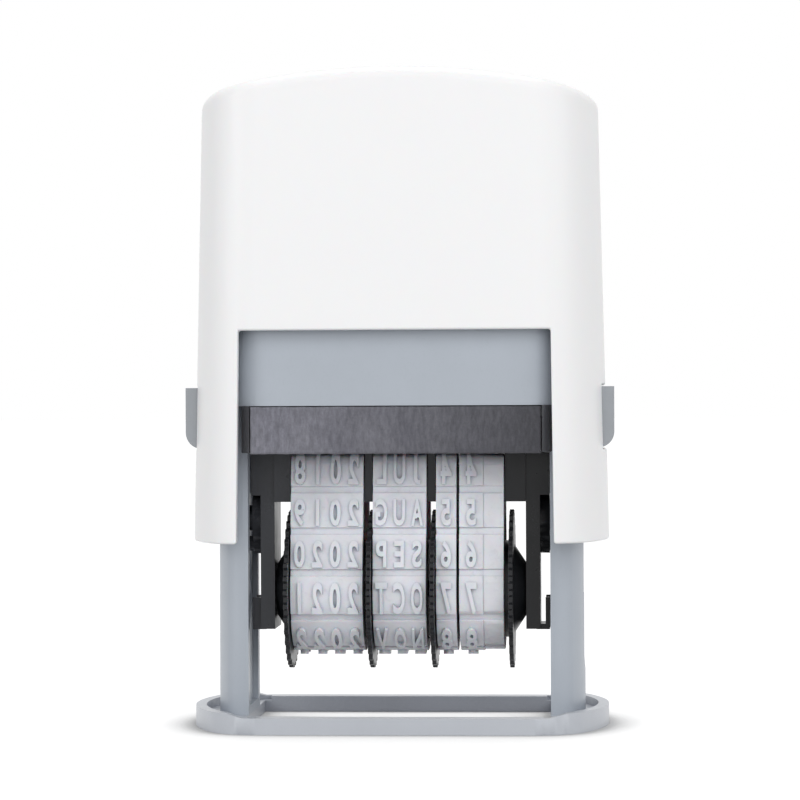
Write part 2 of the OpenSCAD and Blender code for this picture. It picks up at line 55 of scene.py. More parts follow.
CAP_TAPER_X = 0.0215
CAP_TAPER_Y = 0.015
CAP_EDGE_R = 5.0
CAP_SIDE_R = 20.0
CAP_TOP_R = 1.2
CAP_CROWN_R = 72.0
CAP_CROWN_T = 1.6
CAP_WALL = 1.2
CAP_INNER_R = 0.4
WINDOW_H = 19.5
WINDOW_HW = 14.25
WINDOW_FLARE = 0.011
WINDOW_R = 0.75
SLOT_GAP = 0.1
BUTTON_LIP = 0.5
BOSS_D = 4.0
BOSS_BORE = 2.5
BOSS_GAP = 0.25
SEAT_R = 6.25
SEAT_DROP = 2.2
PEG_R = 3.45
PEG_H = 2.0

COIL_TURNS = 9
WIRE_D = 0.9

CASSETTE_PLATE = 1.0
FELT_LIP = 1.0

BAND_T = 0.8
TILE_H = 0.3
DRUM_R = 5.1
FACE_R = 0.6
FACE_D = 5.48
ROWS = 12
BLANK_W = 1.9


def node_box(name):
    """Lowest and highest corner of a CAD node, in millimetres."""
    low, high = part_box(name)
    return Vector(low) / MM, Vector(high) / MM


# Materials

WHITE = (1, 1, 1, 1)
# Colour of the painted shade in hollows
PAINTED_SHADE_TONE = (0.5, 0.51, 0.56, 1)
NOISE_LOW = 0.3
NOISE_HIGH = 0.7
# Width in mm over which one side is painted paler and the other darker, as light from one side would make it
PAINTED_LIGHT_W = 27.0
OCCLUSION_SAMPLES = 8


def srgb(r, g, b):
    """Linear colour of an 8-bit display colour."""
    def line(v):
        v /= 255
        return v / 12.92 if v <= 0.04045 else ((v + 0.055) / 1.055) ** 2.4
    return line(r), line(g), line(b), 1.0


def scaled(colour, k):
    """A colour made k times as bright, up to white."""
    return tuple(min(1.0, v * k) for v in colour[:3]) + (1.0,)


class Shade:
    """A Principled material and the nodes that drive it."""

    def __init__(self, name, rough, **sockets):
        self.mat = bpy.data.materials.new(name)
        self.mat.use_nodes = True
        self.tree = self.mat.node_tree
        self.bsdf = self.tree.nodes["Principled BSDF"]
        self.coords = self.tree.nodes.new("ShaderNodeTexCoord")
        self.bsdf.inputs["Roughness"].default_value = rough
        for key, value in sockets.items():
            self.bsdf.inputs[key.replace("_", " ")].default_value = value

    def link(self, a, b):
        self.tree.links.new(a, b)

    def stretch(self, scale):
        """Object coordinates, stretched along the axes."""
        node = self.tree.nodes.new("ShaderNodeMapping")
        node.inputs["Scale"].default_value = scale
        self.link(self.coords.outputs["Object"], node.inputs["Vector"])
        return node.outputs["Vector"]

    def noise(self, per_mm, detail=4, rough=0.6, stretch=(1, 1, 1)):
        """Noise with about that many lumps in a millimetre."""
        node = self.tree.nodes.new("ShaderNodeTexNoise")
        node.inputs["Scale"].default_value = per_mm / MM
        node.inputs["Detail"].default_value = detail
        node.inputs["Roughness"].default_value = rough
        self.link(self.stretch(stretch), node.inputs["Vector"])
        return node.outputs["Fac"]

    def ramp(self, fac, *stops):
        """Colour ramp of (place, colour) stops."""
        node = self.tree.nodes.new("ShaderNodeValToRGB")
        ramp = node.color_ramp
        while len(ramp.elements) < len(stops):
            ramp.elements.new(0.5)
        for element, (place, colour) in zip(ramp.elements, stops):
            element.position = place
            element.color = colour
        self.link(fac, node.inputs["Fac"])
        return node.outputs["Color"]

    def shades(self, fac, colour, dark, pale):
        """The colour times dark to pale, over the usual range of noise."""
        return self.ramp(fac, (NOISE_LOW, scaled(colour, dark)), (NOISE_HIGH, scaled(colour, pale)))

    def remap(self, value, from_low, from_high, low, high):
        """A value from one range taken to another."""
        node = self.tree.nodes.new("ShaderNodeMapRange")
        node.inputs["From Min"].default_value = from_low
        node.inputs["From Max"].default_value = from_high
        node.inputs["To Min"].default_value = low
        node.inputs["To Max"].default_value = high
        self.link(value, node.inputs["Value"])
        return node.outputs["Result"]

    def across(self, width, left, right):
        """A value that goes from left to right over a width in mm, along the object's X axis."""
        split = self.tree.nodes.new("ShaderNodeSeparateXYZ")
        self.link(self.coords.outputs["Object"], split.inputs["Vector"])
        return self.remap(split.outputs["X"], -width / 2 * MM, width / 2 * MM, left, right)

    def hollows(self, reach):
        """1 on open faces, falling to 0 in corners and slits within a reach in mm; the materials paint shade
        with it.
        """
        node = self.tree.nodes.new("ShaderNodeAmbientOcclusion")
        node.inputs["Distance"].default_value = reach * MM
        node.samples = OCCLUSION_SAMPLES
        return node.outputs["AO"]

    def times(self, a, b, share=1.0):
        """Colour a times colour b, by the given share."""
        node = self.tree.nodes.new("ShaderNodeMix")
        node.data_type = "RGBA"
        node.blend_type = "MULTIPLY"
        node.inputs[0].default_value = share
        self.link(a, node.inputs[6])
        self.link(b, node.inputs[7])
        return node.outputs[2]

    def colour(self, socket):
        self.link(socket, self.bsdf.inputs["Base Color"])

    def rough(self, fac, low, high):
        """Roughness from low to high, over the usual range of noise."""
        self.link(self.remap(fac, NOISE_LOW, NOISE_HIGH, low, high), self.bsdf.inputs["Roughness"])

    def bump(self, *heights):
        """Stacks (height, strength, depth in mm) into the normal."""
        normal = None
        for height, strength, depth in heights:
            node = self.tree.nodes.new("ShaderNodeBump")
            node.inputs["Strength"].default_value = strength
            node.inputs["Distance"].default_value = depth * MM
            self.link(height, node.inputs["Height"])
            if normal:
                self.link(normal, node.inputs["Normal"])
            normal = node.outputs["Normal"]
        self.link(normal, self.bsdf.inputs["Normal"])


def moulded(name, colour, rough, grain, vary, depth, wave=0.15, gloss=0.03, reach=0, fade=None, **sockets):
    """Moulded plastic: slow shade changes, a fine spark grain and uneven gloss.

    A reach in mm darkens hollows with painted shade, and a width with a left and a right factor paints one
    side paler and the other darker, as light from one side would.
    """
    s = Shade(name, rough, **sockets)
    slow = s.noise(0.12, 3)
    fine = s.noise(grain, 2, 0.5)
    speck = s.ramp(fine, (0.28, scaled(WHITE, 1 - 1.5 * vary)), (0.42, WHITE))
    tone = s.times(s.shades(slow, colour, 1 - vary, 1 + vary), speck, 0.6)
    # painted shade: darker in hollows and recesses, where shade falls
    if reach:
        tone = s.times(tone, s.ramp(s.hollows(reach), (0.05, PAINTED_SHADE_TONE), (0.4, WHITE)))
    # painted light: one side paler and the other darker, as a lamp on that side would make it
    if fade:
        tone = s.times(tone, s.across(*fade))
    s.colour(tone)
    s.rough(s.noise(0.5, 2), rough - gloss, rough + gloss)
    s.bump((slow, wave, 0.02), (fine, 0.35, depth))
    return s.mat


def drawn_steel(name, colour, along, rough):
    """Drawn steel, with fine lines along the given axis."""
    s = Shade(name, rough, Metallic=1.0)
    lines = s.noise(9, 4, 0.7, tuple(0.04 if i == along else 1.0 for i in range(3)))
    s.colour(s.shades(lines, colour, 0.82, 1.08))
    s.rough(lines, rough - 0.07, rough + 0.12)
    s.bump((lines, 0.3, 0.01))
    return s.mat


def felt_material():
    """Ink-soaked felt: short tangled fibres, wet patches, and painted light that leaves its left end paler
    and its right end darker.
    """
    s = Shade("felt", 0.85, Sheen_Weight=0.35, Sheen_Roughness=0.5)
    fibres = s.noise(2.6, 6, 0.7, (1.1, 1, 0.35))
    cross = s.noise(4.5, 6, 0.7, (0.5, 1, 1.2))
    wet = s.noise(0.22, 3)
    body = s.ramp(fibres, (0.32, srgb(90, 90, 96)), (0.5, srgb(104, 104, 111)), (0.68, srgb(118, 118, 125)))
    lint = s.ramp(cross, (0.45, (0.88, 0.88, 0.9, 1)), (0.62, WHITE))
    soaked = s.ramp(wet, (0.35, (0.85, 0.85, 0.87, 1)), (0.65, WHITE))
    inked = s.times(s.times(body, lint, 0.7), soaked)
    # painted light: the felt's left end paler and its right end darker
    s.colour(s.times(inked, s.across(PAINTED_LIGHT_W, 1.7, 0.42)))
    s.bump((fibres, 0.6, 0.06), (cross, 0.5, 0.04))
    return s.mat


def rubber_material():
    """Pale rubber of the bands: milky, a little see-through, with dust and with painted shade in the hollows.
    """
    s = Shade("band_rubber", 0.42, Subsurface_Weight=0.35, Subsurface_Scale=0.6 * MM)
    slow = s.noise(0.3, 4)
    fine = s.noise(6, 5)
    dust = s.noise(1.4, 6, 0.7)
    base = s.shades(slow, srgb(236, 237, 243), 0.92, 1.04)
    marks = s.ramp(dust, (0.3, (0.88, 0.88, 0.9, 1)), (0.45, WHITE))
    # painted shade: darker in the hollows round the characters and between the tiles, where shade falls
    painted_hollow_shade = s.ramp(s.hollows(0.5), (0.3, (0.56, 0.56, 0.59, 1)), (0.8, WHITE))
    s.colour(s.times(s.times(base, marks, 0.7), painted_hollow_shade))
    s.rough(dust, 0.34, 0.52)
    s.bump((slow, 0.3, 0.05), (fine, 0.3, 0.012))
    return s.mat


PLASTICS = {
    "cap_plastic": dict(colour=srgb(250, 250, 251), rough=0.34, grain=2.0, vary=0.002, depth=0.0003,
                        wave=0.03, gloss=0.005, Subsurface_Weight=0.08, Subsurface_Scale=1.0 * MM,
                        Specular_IOR_Level=0.35),
    "frame_plastic": dict(colour=srgb(176, 183, 192), rough=0.36, grain=5.0, vary=0.03, depth=0.01),
    # the ring has painted shade in its hollows, such as the inner face of its back rail under the body
    "ring_plastic": dict(colour=srgb(195, 199, 206), rough=0.32, grain=5.0, vary=0.03, depth=0.01, reach=25),
    "button_plastic": dict(colour=srgb(160, 164, 169), rough=0.38, grain=5.5, vary=0.03, depth=0.01),
    "cassette_plastic": dict(colour=srgb(82, 83, 87), rough=0.4, grain=5.0, vary=0.06, depth=0.012),
    # the rotor's left side is painted paler and its right side darker, as light from the left would make them
    "rotor_plastic": dict(colour=srgb(36, 37, 40), rough=0.3, grain=4.5, vary=0.08, depth=0.012,
                          fade=(PAINTED_LIGHT_W, 2.6, 0.5), Specular_IOR_Level=0.3),
    "wheel_plastic": dict(colour=srgb(30, 31, 34), rough=0.34, grain=6.0, vary=0.08, depth=0.01,
                          Specular_IOR_Level=0.35),
}
materials = {name: moulded(name, **look) for name, look in PLASTICS.items()}
materials["felt"] = felt_material()
materials["band_rubber"] = rubber_material()
materials["spring_steel"] = drawn_steel("spring_steel", srgb(186, 188, 192), 2, 0.28)
materials["pin_steel"] = drawn_steel("pin_steel", srgb(84, 85, 90), 0, 0.34)


# Pieces and meshes

WELD = 0.001
SHARP_ANGLE = 35


def dress(obj, slot):
    """Gives a piece the one material of a slot."""
    obj.data.materials.clear()
    obj.data.materials.append(materials[slot])


def soften(obj, width, segments=2, angle=SHARP_ANGLE):
    """Rounds the sharp edges by a small width in mm, with even shading."""
    weld = obj.modifiers.new("weld", "WELD")
    weld.merge_threshold = WELD * MM
    bevel = obj.modifiers.new("bevel", "BEVEL")
    bevel.width = width * MM
    bevel.segments = segments
    bevel.limit_method = "ANGLE"
    bevel.angle_limit = math.radians(angle)
    bevel.harden_normals = True
    normals = obj.modifiers.new("normals", "WEIGHTED_NORMAL")
    normals.keep_sharp = True


def add_piece(name, mesh, body, slot, *stands_for):
    """A finished mesh as a piece that rides on a body."""
    obj = bpy.data.objects.new(name, mesh)
    bpy.context.scene.collection.objects.link(obj)
    for poly in mesh.polygons:
        poly.use_smooth = True
    dress(obj, slot)
    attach(obj, body)
    if stands_for:
        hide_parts(*stands_for)
    return obj


def to_mesh(name, bm):
    """The bmesh, drawn in millimetres, as a mesh in metres."""
    bmesh.ops.scale(bm, vec=(MM, MM, MM), verts=bm.verts)
    bmesh.ops.recalc_face_normals(bm, faces=bm.faces)
    mesh = bpy.data.meshes.new(name)
    bm.to_mesh(mesh)
    bm.free()
    return mesh


def slice_at(bm, point, normal):
    """Cuts all faces by a plane, so that they can be bent there."""
    bmesh.ops.bisect_plane(bm, geom=bm.verts[:] + bm.edges[:] + bm.faces[:], plane_co=point, plane_no=normal)


def join_rings(bm, r0, r1):
    """Faces between two closed rings of as many vertices."""
    for i in range(len(r0)):
        k = (i + 1) % len(r0)
        bm.faces.new((r0[i], r0[k], r1[k], r1[i]))


# CAD nodes that stay: material of their slot, and the width of their rounded edges in mm

CAD_FINISH = {
    "foot_ring": ("ring_plastic", 0.25),
    "frame": ("frame_plastic", 0.12),
    "pad_cassette": ("cassette_plastic", 0.08),
    "print_bridge": ("rotor_plastic", 0.1),
    "wheel_shaft": ("pin_steel", 0.1),
    "shaft_clips": ("pin_steel", 0.06),
}
for side in ("left", "right"):
    CAD_FINISH["lock_button_" + side] = ("button_plastic", 0.35)
    CAD_FINISH["end_plate_" + side] = ("rotor_plastic", 0.12)
    CAD_FINISH["trunnion_pin_" + side] = ("pin_steel", 0.1)
for part in ("year", "month", "tens", "units"):
    CAD_FINISH[part + "_band"] = ("band_rubber", 0.07)
    CAD_FINISH[part + "_wheel"] = ("wheel_plastic", 0.05)
for name, (slot, width) in CAD_FINISH.items():
    dress(nodes[name], slot)
    soften(nodes[name], width)


# Cap: one smooth shell with two windows, two button slots, trunnion bosses and the spring seat

FLAT_STEPS = 10
EDGE_STEPS = 5
TURN_STEPS = 4
END_STEPS = 5
SLOT_STEPS = 3
WINDOW_STATION = FLAT_STEPS + EDGE_STEPS
SLOT_STATION = WINDOW_STATION + TURN_STEPS + END_STEPS
QUARTER = SLOT_STATION + SLOT_STEPS
ROWS_TO_SLOT = 8
ROWS_OF_SLOT = 6
ROWS_TO_WINDOW = 4
WALL_STEPS = 16
FILLET_STEPS = 6
CROWN_RINGS = 12
SHOULDER_DROP = 1.5
CAP_SOFT = 0.22
BOSS_SUNK = 0.6
SEAT_T = 1.2
PEG_ROOT = 0.4
FITTING_SOFT = 0.12
TUBE_STEPS = 48


class CapSkin:
    """The cap's outer surface, or the one a gap inside it with its own crown."""

    def __init__(self, gap, top, fillet):
        low, high = node_box("cap_shell")
        self.foot_hw = high.x
        self.foot_hd = high.y
        self.low = low.z
        self.gap = gap
        self.top = top
        self.fillet = fillet

    def plan(self, z, inset):
        """Corner centre, corner radius, end centre, end radius and the angle between, at height z."""
        hw = self.foot_hw - CAP_TAPER_X * (z - self.low)
        hd = self.foot_hd - CAP_TAPER_Y * (z - self.low)
        reach = math.sqrt((CAP_SIDE_R - CAP_EDGE_R) ** 2 - (hd - CAP_EDGE_R) ** 2)
        corner = Vector((hw - CAP_SIDE_R + reach, hd - CAP_EDGE_R))
        turn = math.asin((hd - CAP_EDGE_R) / (CAP_SIDE_R - CAP_EDGE_R))
        inset += self.gap
        return corner, CAP_EDGE_R - inset, Vector((hw - CAP_SIDE_R, 0)), CAP_SIDE_R - inset, turn

    def quarter(self, z, inset, edge_x, slot_y):
        """Points and outward angles from the middle of the front to the middle of the end."""
        corner, r, end, end_r, turn = self.plan(z, inset)
        edge = math.acos(min(1.0, max(-1.0, (edge_x - corner.x) / r)))
        slot = math.asin(slot_y / end_r)
        out = []
        for i in range(FLAT_STEPS):
            out.append((Vector((corner.x * i / FLAT_STEPS, corner.y + r)), math.pi / 2))
        arcs = ((corner, r, math.pi / 2, edge, EDGE_STEPS), (corner, r, edge, turn, TURN_STEPS),
                (end, end_r, turn, slot, END_STEPS), (end, end_r, slot, 0.0, SLOT_STEPS))
        for centre, radius, a0, a1, n in arcs:
            for i in range(n):
                a = a0 + (a1 - a0) * i / n
                out.append((centre + radius * Vector((math.cos(a), math.sin(a))), a))
        out.append((Vector((end.x + end_r, 0)), 0.0))
        return out

    def crown(self, x, drop):
        """Height of the crown at x, drop below its surface."""
        return self.top - CAP_CROWN_R + math.sqrt((CAP_CROWN_R - drop) ** 2 - x * x)


def around(quarter):
    """All four quarters of a plan, from the middle of the front round by the right."""
    front_right = [(Vector((p.x, -p.y)), -a) for p, a in quarter]
    back_right = [(p, a) for p, a in reversed(quarter)][1:]
    back_left = [(Vector((-p.x, p.y)), math.pi - a) for p, a in quarter][1:]
    front_left = [(Vector((-p.x, -p.y)), math.pi + a) for p, a in reversed(quarter)][1:-1]
    return front_right + back_right + back_left + front_left


def cap_levels(low, slot_low, slot_high, window_top):
    """Heights of the rows of the straight wall up to the window's top."""
    out = []
    spans = ((low, slot_low, ROWS_TO_SLOT), (slot_low, slot_high, ROWS_OF_SLOT),
             (slot_high, window_top - WINDOW_R, ROWS_TO_WINDOW))
    for z0, z1, n in spans:
        out += [z0 + (z1 - z0) * i / n for i in range(n)]
    return out + [window_top - WINDOW_R, window_top]


def cap_skin(bm, skin, levels, slot_hd, window_top):
    """Rows of vertices of one skin, from the lower edge to the crown, and the crown's middle."""
    rows = []
    for z in levels:
        edge_x = WINDOW_HW + WINDOW_FLARE * (window_top - z)
        ring = around(skin.quarter(z, 0, edge_x, slot_hd))
        rows.append([bm.verts.new((p.x, p.y, z)) for p, _ in ring])
    shoulder_z = skin.crown(0, skin.fillet) - SHOULDER_DROP
    shoulder = around(skin.quarter(shoulder_z, skin.fillet, WINDOW_HW, slot_hd))
    start = around(skin.quarter(window_top, 0, WINDOW_HW, slot_hd))
    for k in range(1, WALL_STEPS + 1):
        t = k / WALL_STEPS
        row = []
        for (p, _), (c, a) in zip(start, shoulder):
            q = p.lerp(c + skin.fillet * Vector((math.cos(a), math.sin(a))), t)
            z = window_top + t * (skin.crown(c.x, skin.fillet) - window_top)
            row.append(bm.verts.new((q.x, q.y, z)))
        rows.append(row)
    for k in range(1, FILLET_STEPS + 1):
        rim = []
        for c, a in shoulder:
            z = skin.crown(c.x, skin.fillet)
            side = Vector((math.cos(a), math.sin(a), 0))
            up = Vector((c.x, 0, z - skin.top + CAP_CROWN_R)).normalized()
            rim.append(Vector((c.x, c.y, z)) + skin.fillet * side.slerp(up, k / FILLET_STEPS))
        rows.append([bm.verts.new(q) for q in rim])
    for k in range(1, CROWN_RINGS):
        t = 1 - k / CROWN_RINGS
        rows.append([bm.verts.new((q.x * t, q.y * t, skin.crown(q.x * t, 0))) for q in rim])
    return rows, bm.verts.new((0, 0, skin.crown(0, 0)))


def close_skin(bm, rows, pole, removed):
    """Faces of one skin, without its openings."""
    count = len(rows[0])
    for j in range(len(rows) - 1):
        for i in range(count):
            if not removed(j, i):
                k = (i + 1) % count
                bm.faces.new((rows[j][i], rows[j][k], rows[j + 1][k], rows[j + 1][i]))
    for i in range(count):
        bm.faces.new((rows[-1][i], rows[-1][(i + 1) % count], pole))


def join_skins(bm, a, b, level_count, removed):
    """Narrow faces between two skins, along the lower edge and round the openings."""
    count = len(a[0])
    for j in range(level_count):
        for i in range(count):
            k = (i + 1) % count
            below = j == 0 or removed(j - 1, i)
            if removed(j, i) != below:
                bm.faces.new((a[j][i], a[j][k], b[j][k], b[j][i]))
            if removed(j, i) != removed(j, i - 1):
                bm.faces.new((a[j][i], a[j + 1][i], b[j + 1][i], b[j][i]))


def make_cap():
    """The cap's shell, open at the windows and at the button slots."""
    low, high = node_box("cap_shell")
    button_low, button_high = node_box("lock_button_right")
    window_top = low.z + WINDOW_H
    slot_low = button_low.z + BUTTON_LIP - SLOT_GAP
    slot_high = button_high.z - BUTTON_LIP + SLOT_GAP
    slot_hd = button_high.y + SLOT_GAP
    levels = cap_levels(low.z, slot_low, slot_high, window_top)
    slot_rows = range(levels.index(slot_low), levels.index(slot_high))

    def removed(j, i):
        """True where a cell of the wall is in a window or a button slot."""
        q = i % (2 * QUARTER)
        q = min(q, 2 * QUARTER - 1 - q)
        if j < len(levels) - 1 and q < WINDOW_STATION:
            return True
        return j in slot_rows and q >= SLOT_STATION

    bm = bmesh.new()
    outer = CapSkin(0, high.z, CAP_TOP_R)
    inner = CapSkin(CAP_WALL, high.z - CAP_CROWN_T, CAP_INNER_R)
    skins = [cap_skin(bm, s, levels, slot_hd, window_top) for s in (outer, inner)]
    for rows, pole in skins:
        close_skin(bm, rows, pole, removed)
    join_skins(bm, skins[0][0], skins[1][0], len(levels), removed)
    loose = [v for v in bm.verts if not v.link_faces]
    bmesh.ops.delete(bm, geom=loose, context="VERTS")
    cap = add_piece("cap_body", to_mesh("cap_body", bm), "cap", "cap_plastic", "cap_shell")
    soften(cap, CAP_SOFT, 3)


def tube(bm, r_out, r_in, p0, p1):
    """Tube or, with r_in 0, a rod between two points, with its ends closed."""
    turn = (p1 - p0).normalized().to_track_quat("Z", "Y")
    angles = [2 * math.pi * i / TUBE_STEPS for i in range(TUBE_STEPS)]
    rings = []
    for p, r in ((p0, r_out), (p1, r_out), (p1, r_in), (p0, r_in)):
        if r > 0:
            circle = [Vector((r * math.cos(a), r * math.sin(a), 0)) for a in angles]
            rings.append([bm.verts.new(p + turn @ c) for c in circle])
    for r0, r1 in zip(rings, rings[1:]):
        join_rings(bm, r0, r1)
    if r_in > 0:
        join_rings(bm, rings[-1], rings[0])
    else:
        bm.faces.new(rings[0])
        bm.faces.new(rings[-1])


def make_cap_fittings():
    """Trunnion bosses, spring seat and the seat's peg, moulded inside the cap."""
    high = node_box("cap_shell")[1]
    pin_low, pin_high = node_box("trunnion_pin_right")
    axis_z = (pin_low.z + pin_high.z) / 2
    leg_hw = node_box("frame")[1].x
    bm = bmesh.new()
    for s in (-1, 1):
        tube(bm, BOSS_D / 2, BOSS_BORE / 2, Vector((s * (leg_hw + BOSS_GAP), 0, axis_z)),
             Vector((s * (high.x - BOSS_SUNK), 0, axis_z)))
    seat_z = high.z - SEAT_DROP
    tube(bm, SEAT_R, 0, Vector((0, 0, seat_z)), Vector((0, 0, seat_z + SEAT_T)))
    tube(bm, PEG_R, 0, Vector((0, 0, seat_z - PEG_H)), Vector((0, 0, seat_z + PEG_ROOT)))
    piece = add_piece("cap_fittings", to_mesh("cap_fittings", bm), "cap", "cap_plastic", "cap_shell")
    soften(piece, FITTING_SOFT)


make_cap()
make_cap_fittings()


# Return spring: a coil of round wire, which on the real stamp shortens with the cap

TURN_POINTS = 32
WIRE_SIDES = 12


def make_spring():
    low, high = node_box("return_spring")
    coil_r = (high.x - low.x - WIRE_D) / 2
    rise = high.z - low.z - WIRE_D
    points = COIL_TURNS * TURN_POINTS
    bm = bmesh.new()
    rings = []
    for i in range(points + 1):
        t = i / points
        a = 2 * math.pi * COIL_TURNS * t
        centre = Vector((0, 0, low.z + WIRE_D / 2 + rise * t))
        out = Vector((math.cos(a), math.sin(a), 0))
        ring = []
        for k in range(WIRE_SIDES):
            b = 2 * math.pi * k / WIRE_SIDES
            r = coil_r + WIRE_D / 2 * math.cos(b)
            ring.append(bm.verts.new(centre + r * out + Vector((0, 0, WIRE_D / 2 * math.sin(b)))))
        rings.append(ring)
    for r0, r1 in zip(rings, rings[1:]):
        join_rings(bm, r0, r1)
    bm.faces.new(rings[0])
    bm.faces.new(rings[-1])
    spring = add_piece("spring_coil", to_mesh("spring_coil", bm), "frame", "spring_steel", "return_spring")
    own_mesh(spring)


make_spring()


# Ink pad: felt with a rough, fibrous skin, just clear of the bands

FELT_CLEAR = 0.05
FELT_INSET = 0.06
FELT_STEP = 0.3
FELT_LUMPS = (1.1, 3, 3)
FELT_FIBRES = 7
FELT_FIBRE_SHARE = 0.3
FELT_SKIN = 0.02
FELT_DENT = 0.09


def felt_dent(p):
    """How deep the felt's skin lies under its plain face at a point, in mm."""
    lumps = noise.noise(Vector([v * k for v, k in zip(p, FELT_LUMPS)]))
    fibres = noise.noise(p * FELT_FIBRES)
    return FELT_SKIN + FELT_DENT * (0.5 + 0.5 * lumps + FELT_FIBRE_SHARE * fibres)


def make_felt():
    low, high = node_box("ink_pad")
    low.z = node_box("year_band")[1].z + FELT_CLEAR
    plate = node_box("pad_cassette")[1].z - CASSETTE_PLATE
    lip = low.y + FELT_LIP
    outline = [(low.y, low.z), (high.y, low.z), (high.y, plate), (lip, plate), (lip, high.z), (low.y, high.z)]
    bm = bmesh.new()
    face = bm.faces.new([bm.verts.new((low.x + FELT_INSET, y, z)) for y, z in outline])
    pushed = bmesh.ops.extrude_face_region(bm, geom=[face])
    moved = [v for v in pushed["geom"] if isinstance(v, bmesh.types.BMVert)]
    bmesh.ops.translate(bm, verts=moved, vec=(high.x - low.x - 2 * FELT_INSET, 0, 0))
    for axis in range(3):
        first, last = low[axis], high[axis]
        n = int((last - first) / FELT_STEP)
        normal = Vector([1.0 if i == axis else 0.0 for i in range(3)])
        for i in range(1, n):
            slice_at(bm, normal * (first + (last - first) * i / n), normal)
    bmesh.ops.recalc_face_normals(bm, faces=bm.faces)
    bm.normal_update()
    moves = [(v, v.normal * -felt_dent(v.co)) for v in bm.verts]
    for v, move in moves:
        v.co += move
    felt = add_piece("felt_pad", to_mesh("felt_pad", bm), "frame", "felt", "ink_pad")


make_felt()


# Raised characters of the date bands, mirrored as on any stamp; row 0 is at the printing face

FIRST_YEAR = 2017
FIRST_DIGIT = 3
YEARS = [str(FIRST_YEAR + k) for k in range(ROWS)]
MONTHS = ["JUN", "JUL", "AUG", "SEP", "OCT", "NOV", "DEC", "JAN", "FEB", "MAR", "APR", "MAY"]
DIGITS = [str((FIRST_DIGIT + k) % 10) if k < 10 else "" for k in range(ROWS)]
BAND_WORDS = {"year_band": YEARS, "month_band": MONTHS, "tens_band": DIGITS, "units_band": DIGITS}
CHAR_HEIGHT = 2.5
CHAR_WIDTH = 1.08
CHAR_PITCH = 1.66
CHAR_CONDENSE = 2.0
CHAR_WEIGHT = 0.03
CHAR_SHIFT = 0.25
CHAR_RELIEF = 0.35
CHAR_ROOT = 0.05
CHAR_SOFT = 0.05
CHAR_SHARP_ANGLE = 50
PRINT_RELIEF = 0.18
CURVE_STEPS = 4
GLYPH_HALF = 0.5
BEND_STEPS = 12


class Loop:
    """Mid-line of the band loop in the YZ plane, measured from the middle of the printing face."""

    def __init__(self):
        wheel_low, wheel_high = node_box("year_wheel")
        self.shaft_z = (wheel_low.z + wheel_high.z) / 2
        self.top = node_box("year_band")[1].z - TILE_H - BAND_T / 2
        self.face_y = FACE_D / 2
        self.corner_z = self.top - FACE_R
        rise = self.corner_z - self.shaft_z
        centre_d = math.hypot(self.face_y, rise)
        self.lean = math.asin((DRUM_R - FACE_R) / centre_d) - math.atan2(self.face_y, rise)
        self.run_l = math.sqrt(centre_d ** 2 - (DRUM_R - FACE_R) ** 2)
        self.corner_l = FACE_R * (math.pi / 2 - self.lean)
        drum_l = DRUM_R * (math.pi + 2 * self.lean)
        self.length = FACE_D + 2 * self.corner_l + 2 * self.run_l + drum_l
        self.pitch = self.length / ROWS

    def place(self, l):
        """Point on the mid-line and outward direction, l along it towards the front."""
        l = (l + self.length / 2) % self.length - self.length / 2
        s = -1 if l >= 0 else 1
        l = abs(l)
        corner = Vector((0, self.face_y, self.corner_z))
        run = l - self.face_y - self.corner_l
        if l < self.face_y:
            point, turn = Vector((0, l, self.top)), math.pi / 2
        elif run < 0:
            turn = math.pi / 2 - (l - self.face_y) / FACE_R
            point = corner + FACE_R * Vector((0, math.cos(turn), math.sin(turn)))
        elif run < self.run_l:
            turn = self.lean
            u = Vector((0, math.cos(turn), math.sin(turn)))
            point = corner + FACE_R * u + run * Vector((0, u.z, -u.y))
        else:
            turn = self.lean - (run - self.run_l) / DRUM_R
            point = Vector((0, 0, self.shaft_z)) + DRUM_R * Vector((0, math.cos(turn), math.sin(turn)))
        out = Vector((0, math.cos(turn), math.sin(turn)))
        return Vector((0, s * point.y, point.z)), Vector((0, s * out.y, out.z))


glyphs = {}


def glyph(char):
    """Mesh of an upright character in mm, middle at the origin, with its relief along Z."""
    if char in glyphs:
        return glyphs[char]
    curve = bpy.data.curves.new("glyph", "FONT")
    curve.body = char
    curve.extrude = GLYPH_HALF
    curve.offset = CHAR_WEIGHT
    curve.resolution_u = CURVE_STEPS
    obj = bpy.data.objects.new("glyph", curve)
    mesh = bpy.data.meshes.new_from_object(obj)
    bpy.data.objects.remove(obj)
    bpy.data.curves.remove(curve)
    xs = [v.co.x for v in mesh.vertices]
    ys = [v.co.y for v in mesh.vertices]
    kx = min(CHAR_CONDENSE, CHAR_WIDTH / (max(xs) - min(xs)))
    ky = CHAR_HEIGHT / (max(ys) - min(ys))
    for v in mesh.vertices:
        v.co.x = (v.co.x - (max(xs) + min(xs)) / 2) * kx
        v.co.y = (v.co.y - (max(ys) + min(ys)) / 2) * ky
    glyphs[char] = mesh
    return mesh


def bend(bm, loop, at, middle, relief):
    """Mirrors an upright character and bends it round the loop, at a length along it."""
    for n in range(1, BEND_STEPS):
        slice_at(bm, (0, CHAR_HEIGHT * (n / BEND_STEPS - 0.5), 0), (0, 1, 0))
    for v in bm.verts:
        point, normal = loop.place(at - v.co.y)
        lift = BAND_T / 2 + TILE_H + (relief if v.co.z > 0 else -CHAR_ROOT)
        v.co = point + lift * normal + Vector((middle - v.co.x, 0, 0))


